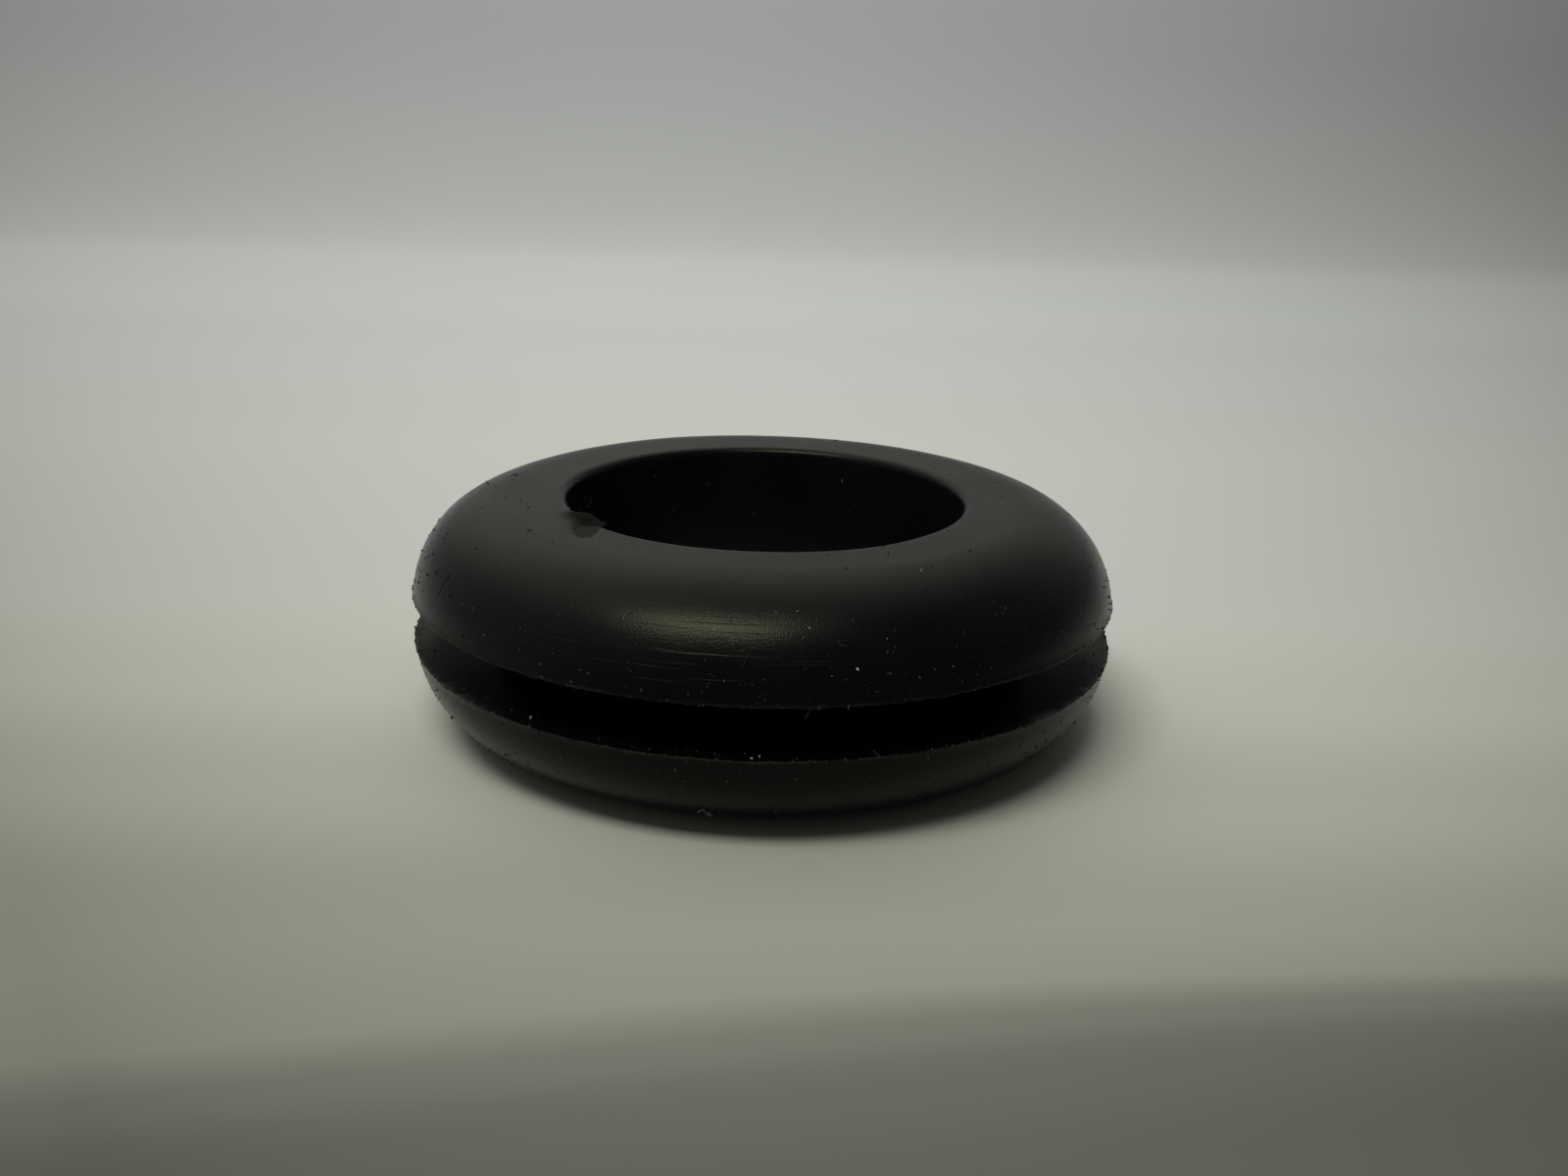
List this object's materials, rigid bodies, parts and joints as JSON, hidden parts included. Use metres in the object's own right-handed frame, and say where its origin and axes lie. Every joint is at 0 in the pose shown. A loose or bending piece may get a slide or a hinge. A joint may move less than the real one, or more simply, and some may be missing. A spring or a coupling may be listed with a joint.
{
  "type": "rubber grommet",
  "caption": "Round black rubber grommet: two rounded flanges with a panel groove between them and a plain hole through the middle.",
  "frame": {"origin": "on the axis of the hole, at the flat face of the lower flange, on which the ring lies", "axes": "+Z along the hole, from the lower flange to the upper one; +X and +Y are free, and the nick in the upper rim is at 217 degrees from +X"},
  "size_m": [0.022, 0.022, 0.007],
  "materials": {
    "rubber": "moulded satin, lightly dusty"
  },
  "bodies": {
    "root": {"grommet": "rubber"}
  },
  "joints": []
}
